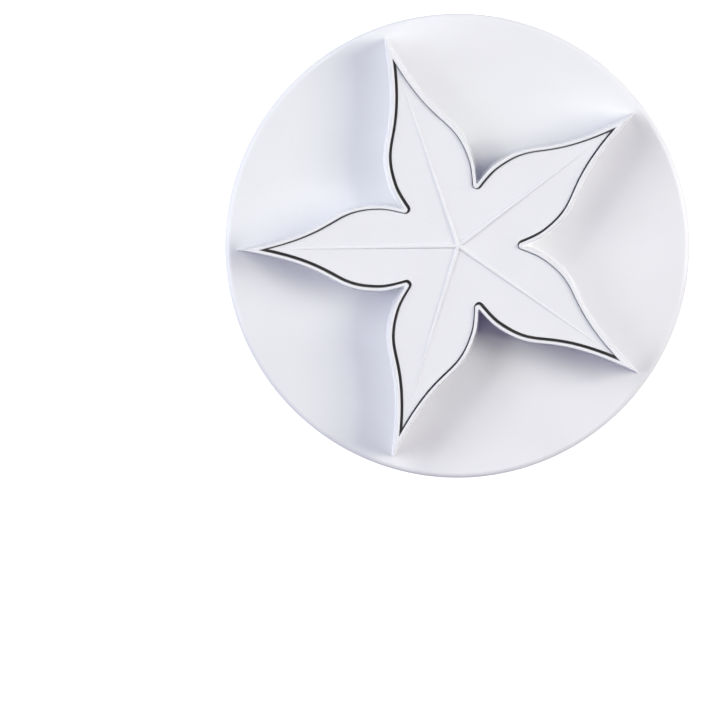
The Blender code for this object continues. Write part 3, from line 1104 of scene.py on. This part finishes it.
@dataclass
class CutterMoulding(Piece):
    """Flange, cutting wall, barrel and guide tube, moulded as one piece."""

    outline: PetalOutline = field(default_factory=PetalOutline)
    wall_height: float = 0.0083
    floor_ring: float = 0.0004
    foot_ring: float = 0.0002
    edge_thickness: float = 0.00048
    edge_round: float = 0.00008
    base_thickness: float = 0.0008
    base_fillet: float = 0.0003
    floor_fillet: float = 0.0002
    flange_thickness: float = 0.0018
    rim_lip: float = 0.0008
    rim_width: float = 0.0018
    rim_front_round: float = 0.00095
    rim_back_round: float = 0.0004
    barrel_root_radius: float = 0.011047
    barrel_mouth_radius: float = 0.009827
    barrel_fillet: float = 0.0012
    bore_radius: float = 0.007897
    mouth_chamfer: float = 0.0009
    mouth_round: float = 0.0004
    small_round: float = 0.0002
    guide_length: float = 0.0075
    guide_outer_radius: float = 0.0041
    guide_inner_radius: float = 0.0031
    guide_front_ring: float = 0.0005
    tip_limit_start: float = 0.0370
    tip_limit: float = 0.03745
    round_start: float = 0.03746
    front_shares: tuple[float, ...] = (0.33, 0.66)
    plate_node: str = "embosser"
    vein_height: float = 0.0004
    slot_start: float = 0.0001
    recess_fade: float = 0.0007
    wall_slack: float = 0.00003
    floor_slack: float = 0.0001

    def build(self) -> bpy.types.Object:
        """Skin the whole moulding as one closed surface.

        Returns:
            The moulding.
        """
        low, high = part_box(self.node)
        edge_z = high.z
        front_z = edge_z - self.wall_height
        shell = Shell()
        for reach, height, edge in self._wall_profile(front_z, edge_z).points():
            shell.add(self._kept_inside_rim(self.outline.star(reach)), height, edge)
        foot = shell.rings[-1][:, :2]
        angles = angle_of(foot)
        turned = self._turned_profile(low.z, front_z, high.x).points()
        for share in self.front_shares:
            shell.add(foot * (1.0 - share) + circle_at(angles, turned[0, 0]) * share, front_z)
        for reach, height, edge in turned:
            shell.add(circle_at(angles, reach), height, edge)
        data = welded_mesh(self.name, shell.skin(closed=True))
        plate_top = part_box(self.plate_node)[1].z - self.vein_height
        self._mark_slot(data, plate_top - self.slot_start, front_z)
        return shown(self.name, data)

    def _wall_profile(self, front_z: float, edge_z: float) -> Profile:
        """Cross-section of the cutting wall, from the floor inside to the foot outside.

        Args:
            front_z: Height of the flange's front.
            edge_z: Height of the cutting edge.

        Returns:
            The profile, in distances from the wall's inner face.
        """
        foot = self.base_thickness + self.base_fillet
        return Profile((
            Corner(-self.floor_ring, front_z),
            Corner(0.0, front_z, self.floor_fillet),
            Corner(0.0, edge_z, self.edge_round),
            Corner(self.edge_thickness, edge_z, self.edge_round),
            Corner(self.base_thickness, front_z, self.base_fillet),
            Corner(foot + self.foot_ring, front_z),
        ))

    def _turned_profile(self, mouth_z: float, front_z: float, radius: float) -> Profile:
        """Cross-section of everything round, from the flange's front to the guide's bore.

        Args:
            mouth_z: Height of the barrel's mouth.
            front_z: Height of the flange's front.
            radius: Radius of the flange.

        Returns:
            The profile, in distances from the axis.
        """
        back_z = front_z - self.flange_thickness
        lip_z = back_z - self.rim_lip
        guide_z = back_z - self.guide_length
        return Profile((
            Corner(self.round_start, front_z),
            Corner(radius, front_z, self.rim_front_round),
            Corner(radius, lip_z, self.rim_back_round),
            Corner(radius - self.rim_width, lip_z, self.small_round),
            Corner(radius - self.rim_width, back_z, self.small_round),
            Corner(self.barrel_root_radius, back_z, self.barrel_fillet),
            Corner(self.barrel_mouth_radius, mouth_z, self.mouth_round),
            Corner(self.bore_radius + self.mouth_chamfer, mouth_z, self.small_round),
            Corner(self.bore_radius, mouth_z + self.mouth_chamfer, self.small_round),
            Corner(self.bore_radius, back_z, self.mouth_round),
            Corner(self.guide_outer_radius, back_z, self.mouth_round),
            Corner(self.guide_outer_radius, guide_z, self.small_round),
            Corner(self.guide_inner_radius, guide_z, self.small_round),
            Corner(self.guide_inner_radius, front_z, self.small_round),
            Corner(self.guide_inner_radius + self.guide_front_ring, front_z),
        ))

    def _kept_inside_rim(self, outline: np.ndarray) -> np.ndarray:
        """Draw in the tips of a ring softly, so that the fillet ends before the rim's rounding.

        Args:
            outline: Flat points of the ring.

        Returns:
            The ring with no point beyond the limit.
        """
        radius = radius_of(outline)
        room = self.tip_limit - self.tip_limit_start
        past = np.maximum(radius - self.tip_limit_start, 0.0)
        kept = np.minimum(radius, self.tip_limit_start) + room * (1.0 - np.exp(-past / room))
        return outline * (kept / radius)[:, None]

    def _mark_slot(self, data: bpy.types.Mesh, start: float, front_z: float) -> None:
        """Write the mask of painted shade low on the wall's inner face and on the floor inside it.

        Args:
            data: The moulding's mesh.
            start: Height at which the mask starts to grow downwards.
            front_z: Height of the flange's front.
        """
        places = places_of(data)
        wall = self.outline.reach(0.0, angle_of(places)) + self.wall_slack
        outside = radius_of(places) > np.minimum(wall, self.outline.length)
        share = depth_share(data, start, self.recess_fade)
        share[outside | (places[:, 2] < front_z - self.floor_slack)] = 0.0
        write_mask(data, Mask.RECESS, share)


@dataclass
class EmbosserMoulding(Piece):
    """Star plate with raised veins, stiffening ribs, hub and stem, moulded as one piece."""

    outline: PetalOutline = field(default_factory=PetalOutline)
    gap: float = 0.00032
    thickness: float = 0.0018
    edge_round: float = 0.00008
    flat_inset: float = 0.0005
    vein_end: float = 0.027
    vein_fade: float = 0.0006
    vein_root_half_width: float = 0.00036
    vein_end_half_width: float = 0.00014
    vein_height: float = 0.0004
    vein_end_height: float = 0.00008
    vein_steps: int = 6
    vein_flatness: float = 3.0
    vein_skirt: float = 0.000125
    flat_steps: int = 4
    line_lean: float = 3.0
    rib_end: float = 0.0255
    rib_thickness: float = 0.0012
    rib_foot: float = 0.0307953
    hub_radius: float = 0.0046
    stem_radius: float = 0.0028
    stem_chamfer: float = 0.0003
    sink: float = 0.0005
    stem_steps: int = 64
    play: tuple[float, float] = (0.00016, 0.00015)
    recess_fade: float = 0.0012

    def build(self) -> bpy.types.Object:
        """Build the plate and fuse the ribs, hub and stem under it.

        Returns:
            The moulding, resting to one side in its play.
        """
        low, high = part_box(self.node)
        top = high.z - self.vein_height
        back = top - self.thickness
        piece = shown(self.name, welded_mesh(self.name, self._plate(top, back)))
        joined = back + self.sink
        stem = Profile((
            Corner(0.0, joined),
            Corner(self.hub_radius, joined),
            Corner(self.hub_radius, self.rib_foot),
            Corner(self.stem_radius, self.rib_foot),
            Corner(self.stem_radius, low.z, self.stem_chamfer),
            Corner(0.0, low.z),
        ))
        fused(piece, [shown("stem_tool", lathed("stem_tool", stem, self.stem_steps)),
                      shown("rib_tool", self._ribs(joined))])
        shift = Vector((*self.play, 0.0))
        for vertex in piece.data.vertices:
            vertex.co += shift
        # Painted shade and a painted glow: the recess mask grows downwards from just above the
        # plate's back, over the back, ribs, hub and stem.
        write_mask(piece.data, Mask.RECESS,
                   depth_share(piece.data, back + self.edge_round, self.recess_fade))
        return piece

    def _plate(self, top: float, back: float) -> Skin:
        """Skin the plate: its rounded edge, its veined face and its flat back.

        Args:
            top: Height of its face between the veins.
            back: Height of its back.

        Returns:
            The skin of the plate.
        """
        inset = -self.gap - self.flat_inset
        rim = Profile((
            Corner(inset, top),
            Corner(-self.gap, top, self.edge_round),
            Corner(-self.gap, back, self.edge_round),
            Corner(inset, back),
        ))
        shell = Shell()
        for reach, height, edge in rim.points():
            shell.add(self.outline.star(reach), height, edge)
        plate = shell.skin(closed=False)
        half = self.outline.half(inset)
        grids = (self._face_grid(half, top), self._back_grid(half, back))
        for number in range(self.outline.petals):
            for side in (1.0, -1.0):
                for grid in grids:
                    plate.add(grid, side, self.outline.angle(number))
        return plate

    def _spine(self, half: np.ndarray) -> np.ndarray:
        """Places on the petal's middle line that the points of its outline are joined to.

        Args:
            half: Outline of half a petal.

        Returns:
            One distance from the axis for each outline point.
        """
        share = (half[:, 0] - half[0, 0]) / (half[-1, 0] - half[0, 0])
        return half[:, 0] - half[0, 0] * (1.0 - share) ** self.line_lean

    def _face_grid(self, half: np.ndarray, top: float) -> np.ndarray:
        """Lay out half a petal's face, with lines that follow the raised vein.

        Args:
            half: Outline of half a petal.
            top: Height of the face between the veins.

        Returns:
            Rows of points from the petal's middle line to its outline.
        """
        spine = self._spine(half)
        along = np.clip(spine / self.vein_end, 0.0, 1.0)
        width = blend(self.vein_root_half_width, self.vein_end_half_width, along)
        rise = blend(self.vein_height, self.vein_end_height, along)
        rise *= np.clip((self.vein_end + self.vein_fade - spine) / self.vein_fade, 0.0, 1.0)
        columns = [math.sin(0.5 * math.pi * step / self.vein_steps)
                   for step in range(self.vein_steps + 1)]
        columns.append(1.0 + self.vein_skirt / self.vein_root_half_width)
        count = len(columns) + self.flat_steps
        rows = []
        for place, foot, half_width, height in zip(half, spine, width, rise):
            start = np.array([foot, 0.0])
            row = []
            for number, column in enumerate(columns):
                share = min(half_width * column / max(place[1], NEAR_ZERO), number / count)
                lift = height * math.sqrt(max(1.0 - column ** self.vein_flatness, 0.0))
                row.append((*blend(start, place, share), top + lift))
            last = share
            for step in range(1, self.flat_steps + 1):
                share = last + (1.0 - last) * step / self.flat_steps
                row.append((*blend(start, place, share), top))
            rows.append(row)
        return np.array(rows)

    def _back_grid(self, half: np.ndarray, back: float) -> np.ndarray:
        """Lay out half a petal's flat back.

        Args:
            half: Outline of half a petal.
            back: Height of the back.

        Returns:
            Pairs of points, on the petal's middle line and on its outline.
        """
        spine = self._spine(half)
        return np.array([[(foot, 0.0, back), (*place, back)] for place, foot in zip(half, spine)])

    def _ribs(self, joined: float) -> bpy.types.Mesh:
        """Build the stiffening ribs as one five-armed bar.

        Args:
            joined: Height of their top, inside the plate.

        Returns:
            Their mesh.
        """
        half_width = 0.5 * self.rib_thickness
        corner = half_width / math.sin(self.outline.half_sector)
        loop = []
        for number in range(self.outline.petals):
            before = self.outline.angle(number) - self.outline.half_sector
            loop.append(corner * np.array([math.cos(before), math.sin(before)]))
            arm = np.array([[self.rib_end, -half_width], [self.rib_end, half_width]])
            loop.extend(turned_by(arm, self.outline.angle(number)))
        count = len(loop)
        points = [(*place, height) for height in (self.rib_foot, joined) for place in loop]
        points += [(0.0, 0.0, self.rib_foot), (0.0, 0.0, joined)]
        faces = []
        for index in range(count):
            following = (index + 1) % count
            faces.append((index, following, count + following, count + index))
            faces.append((following, index, 2 * count))
            faces.append((count + index, count + following, 2 * count + 1))
        return welded_mesh("rib_tool", Skin(points, faces, [0.0] * len(points)))


@dataclass
class KnobMoulding(Piece):
    """Thumb knob: hollow neck, cone flaring to a round rim, dished end and stem socket."""

    rim_round: float = 0.00168
    rim_end_round: float = 0.00162
    cone_slope: float = math.radians(28.0)
    cone_radius: float = 0.010456
    cone_height: float = 0.003163
    neck_radius: float = 0.007097
    neck_inner_radius: float = 0.005747
    neck_fillet: float = 0.0012
    neck_chamfer: float = 0.0004
    floor_top: float = 0.0024
    socket_top: float = 0.0095
    socket_outer_radius: float = 0.0040
    socket_inner_radius: float = 0.0031
    dish_radius: float = 0.008617
    dish_depth: float = 0.0008
    gate_radius: float = 0.0009
    gate_height: float = 0.00012
    gate_round: float = 0.000048
    small_round: float = 0.0002
    support: float = 0.00003
    steps: int = 144

    def build(self) -> bpy.types.Object:
        """Turn the knob.

        Returns:
            The knob.
        """
        low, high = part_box(self.node)
        profile = Profile((
            Corner(0.0, self.floor_top),
            Corner(self.socket_inner_radius, self.floor_top, self.small_round),
            Corner(self.socket_inner_radius, self.socket_top, self.small_round),
            Corner(self.socket_outer_radius, self.socket_top, self.small_round),
            Corner(self.socket_outer_radius, self.floor_top, self.neck_chamfer),
            Corner(self.neck_inner_radius, self.floor_top, self.neck_chamfer),
            Corner(self.neck_inner_radius, high.z, self.small_round),
            Corner(self.neck_radius - self.neck_chamfer, high.z, self.small_round),
            Corner(self.neck_radius, high.z - self.neck_chamfer, self.small_round),
            Corner(self.neck_radius, self._cone_at(self.neck_radius), self.neck_fillet),
            Corner(high.x, self._cone_at(high.x), self.rim_round),
            Corner(high.x, low.z, self.rim_end_round),
            Corner(self.dish_radius, low.z, self.small_round),
            Corner(self.dish_radius - self.dish_depth, self.dish_depth, self.neck_chamfer),
            Corner(self.gate_radius, self.dish_depth, self.gate_round),
            Corner(self.gate_radius, self.dish_depth - self.gate_height, self.gate_round),
            Corner(0.0, self.dish_depth - self.gate_height),
        ), support=self.support)
        return shown(self.name, lathed(self.name, profile, self.steps))

    def _cone_at(self, radius: float) -> float:
        """Height of the cone at a distance from the axis."""
        return self.cone_height + (self.cone_radius - radius) * math.tan(self.cone_slope)


@dataclass
class SpringWire(Piece):
    """Return spring: one round wire with closed end turns."""

    joint: str = "plunger_slide"
    wire_radius: float = 0.0004
    mean_radius: float = 0.005
    turns: float = 12.0
    end_turns: float = 1.5
    end_pitch: float = 0.00086
    points_per_turn: int = 36
    steps_round: int = 14
    upper_seat: float = 0.0283953
    travel: float = 0.0026

    def build(self) -> bpy.types.Object:
        """Sweep the wire along its coil.

        Returns:
            The spring.
        """
        centre = self._centre_line()
        tangent = unit_rows(np.gradient(centre, axis=0))
        outward = unit_rows(centre * np.array([1.0, 1.0, 0.0]))
        outward = unit_rows(outward - tangent * np.sum(outward * tangent, axis=1)[:, None])
        upward = np.cross(tangent, outward)
        turn = np.arange(self.steps_round) * math.tau / self.steps_round
        rings = (centre[:, None, :] + self.wire_radius * (
            np.cos(turn)[None, :, None] * outward[:, None, :]
            + np.sin(turn)[None, :, None] * upward[:, None, :]))
        skin = Shell(list(rings), [0.0] * len(rings)).skin(closed=False)
        last = len(skin.points) - self.steps_round
        skin.faces.append(list(range(self.steps_round))[::-1])
        skin.faces.append(list(range(last, len(skin.points))))
        data = welded_mesh(self.name, skin)
        self._mark_wire(data, len(centre))
        return shown(self.name, data)

    def _centre_line(self) -> np.ndarray:
        """Place the middle of the wire between its two seats.

        Returns:
            Points along the coil.
        """
        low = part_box(self.node)[0].z + self.wire_radius
        high = self.upper_seat - self.wire_radius
        end_rise = self.end_turns * self.end_pitch
        middle = self.turns - 2.0 * self.end_turns
        turns = np.linspace(0.0, self.turns, int(self.turns * self.points_per_turn) + 1)
        places = [0.0, self.end_turns, self.turns - self.end_turns, self.turns]
        heights = [low, low + end_rise, high - end_rise, high]
        soft = np.interp(turns, places, heights)
        kernel = np.hanning(self.points_per_turn // 2 * 2 + 1)
        padded = np.concatenate([np.full(len(kernel) // 2, soft[0]), soft,
                                 np.full(len(kernel) // 2, soft[-1])])
        height = np.convolve(padded, kernel / kernel.sum(), mode="valid")
        LOG.info("spring: %.1f turns, %.2f mm between its middle turns", self.turns,
                 1000.0 * (high - low - 2.0 * end_rise) / middle)
        return np.column_stack([circle_at(math.tau * turns, self.mean_radius), height])

    def _mark_wire(self, data: bpy.types.Mesh, rings: int) -> None:
        """Write how far along and around the wire each point lies.

        Args:
            data: The wire's mesh, with its points ring by ring.
            rings: Number of rings.
        """
        length = math.tau * self.mean_radius * self.turns
        along = np.repeat(np.linspace(0.0, length, rings), self.steps_round)
        around = np.tile(np.arange(self.steps_round) * math.tau / self.steps_round, rings)
        write_mask(data, Mask.ALONG, along)
        write_mask(data, Mask.AROUND, around)

    def place(self) -> bpy.types.Object:
        """Tie the spring to its fixed end and give it a mesh of its own.

        Returns:
            The finished spring.
        """
        made = super().place()
        length = self.upper_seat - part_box(self.node)[0].z
        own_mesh(made)
        return made


# ---------------------------------------------------------------- studio


@dataclass(frozen=True)
class SoftBox:
    """A large soft lamp that faces the cutter from a direction and a height angle."""

    name: str
    azimuth: float
    elevation: float
    power: float
    colour: tuple[float, float, float]
    size: float = 1.0
    distance: float = 2.0

    def build(self, target: Vector) -> None:
        """Hang the lamp.

        Args:
            target: The point that it faces.
        """
        lamp = bpy.data.lights.new(self.name, "AREA")
        lamp.shape = "SQUARE"
        lamp.size = self.size
        lamp.energy = self.power
        lamp.color = self.colour
        made = bpy.data.objects.new(self.name, lamp)
        azimuth = math.radians(self.azimuth)
        elevation = math.radians(self.elevation)
        towards = Vector((math.cos(azimuth) * math.cos(elevation),
                          math.sin(azimuth) * math.cos(elevation), math.sin(elevation)))
        made.location = target + towards * self.distance
        made.rotation_euler = (-towards).to_track_quat("-Z", "Y").to_euler()
        bpy.context.scene.collection.objects.link(made)


@dataclass(frozen=True)
class Studio:
    """Pale floor, soft lamps and the camera of the photograph's view from straight above."""

    frame_pixels: float = 720.0
    focal_pixels: float = 5428.0
    sensor: float = 36.0
    camera_place: tuple[float, float, float] = (0.0, 0.0152, 0.93)
    aimed_at: tuple[float, float, float] = (0.0, 0.0, 0.0295)
    seen_at: tuple[float, float] = (457.22, 245.99)
    roll: float = math.radians(0.96)
    floor_size: float = 16.0
    floor: PaleFloor = PaleFloor("pale_floor")
    fill: tuple[float, float, float] = (0.30, 0.26, 1.0)
    fill_strength: float = 0.085
    backdrop: tuple[float, float, float] = (0.97, 0.98, 1.0)
    backdrop_strength: float = 0.95
    lamps: tuple[SoftBox, ...] = (
        SoftBox("lamp_right", 5.0, 42.0, 23.3, (1.0, 1.0, 0.80)),
        SoftBox("lamp_upper_right", 55.0, 54.0, 4.3, (0.80, 0.80, 1.0)),
        SoftBox("lamp_upper_left", 140.0, 42.0, 12.7, (0.985, 1.0, 0.93)),
        SoftBox("lamp_left", 180.0, 46.0, 10.2, (0.945, 0.96, 1.0)),
        SoftBox("lamp_below", 270.0, 28.0, 1.6, (1.0, 0.72, 1.0)),
        SoftBox("lamp_low_right", 2.0, 15.0, 12.2, (0.96, 0.85, 1.0), size=1.1),
        SoftBox("lamp_low_left", 180.0, 15.0, 14.6, (0.91, 0.935, 1.0), size=1.1),
        SoftBox("lamp_low_top", 95.0, 12.0, 2.2, (0.95, 0.97, 1.0)),
    )

    def build(self) -> None:
        """Build floor, light and camera."""
        bpy.context.scene.view_settings.view_transform = "Standard"
        self._floor()
        self._sky()
        for lamp in self.lamps:
            lamp.build(Vector(self.aimed_at))
        self._camera()

    def _floor(self) -> None:
        """Lay the pale floor that the knob stands on."""
        half = 0.5 * self.floor_size
        data = bpy.data.meshes.new("floor")
        corners = [(x * half, y * half, 0.0) for x, y in ((-1, -1), (1, -1), (1, 1), (-1, 1))]
        data.from_pydata(corners, [], [(0, 1, 2, 3)])
        floor = shown("floor", data)
        data.materials.append(self.floor.material())

    def _sky(self) -> None:
        """Surround the floor with a pale backdrop that adds only a little even light."""
        world = bpy.data.worlds.new("studio")
        world.use_nodes = True
        tree = world.node_tree
        bench = NodeBench(tree)
        light = tree.nodes["Background"]
        backdrop = bench.node("Background")
        for source, colour, strength in ((light, self.fill, self.fill_strength),
                                         (backdrop, self.backdrop, self.backdrop_strength)):
            bench.feed_all(source, {"Color": opaque(colour), "Strength": strength})
        chosen = bench.node("MixShader")
        bench.feed(chosen.inputs[0], bench.node("LightPath").outputs["Is Camera Ray"])
        bench.feed(chosen.inputs[1], light.outputs[0])
        bench.feed(chosen.inputs[2], backdrop.outputs[0])
        bench.feed(tree.nodes["World Output"].inputs["Surface"], chosen.outputs[0])
        bpy.context.scene.world = world

    def _camera(self) -> None:
        """Put the camera almost straight above, with the disc where the photograph has it."""
        lens = bpy.data.cameras.new("camera")
        lens.sensor_width = self.sensor
        lens.lens = self.focal_pixels / self.frame_pixels * self.sensor
        made = bpy.data.objects.new("camera", lens)
        bpy.context.scene.collection.objects.link(made)
        made.location = self.camera_place
        ahead = Vector((0.0, 0.0, -1.0))
        towards = Vector(self.aimed_at) - Vector(self.camera_place)
        middle = 0.5 * self.frame_pixels
        wanted = Vector((self.seen_at[0] - middle, middle - self.seen_at[1], -self.focal_pixels))
        right = towards.cross(Vector((0.0, 1.0, 0.0))).normalized()
        up = right.cross(towards).normalized()
        level = Matrix((right, up, -towards.normalized())).transposed().to_quaternion()
        aside = ahead.rotation_difference(wanted.normalized()).inverted()
        made.rotation_mode = "QUATERNION"
        made.rotation_quaternion = level @ Quaternion(ahead, self.roll) @ aside
        bpy.context.scene.camera = made


def main() -> None:
    """Build the pieces in order, then the studio round them."""
    logging.basicConfig(level=logging.INFO, format="%(message)s")
    SharedEffects().build()
    pieces = (
        CutterMoulding("cutter_moulding", Body.CUTTER, "cutter_body", Slot.CUTTER,
                       MouldedPlastic("white_plastic_finish")),
        EmbosserMoulding("embosser_moulding", Body.PLUNGER, "embosser", Slot.PLATE,
                         MouldedPlastic("white_plate_finish", roughness=0.38, polish_and_highlight=0.25)),
        KnobMoulding("knob_moulding", Body.PLUNGER, "thumb_knob", Slot.KNOB,
                     MouldedPlastic("white_knob_finish", roughness=0.30, scratches=0.9,
                                    polish_and_highlight=0.5)),
        SpringWire("spring_wire", Body.CUTTER, "return_spring", Slot.SPRING,
                   DrawnSteel("spring_steel_finish")),
    )
    for piece in pieces:
        made = piece.place()
        LOG.info("%s: %d faces on %s", made.name, len(made.data.polygons), piece.body.value)
    Studio().build()


if __name__ == "__main__":
    main()
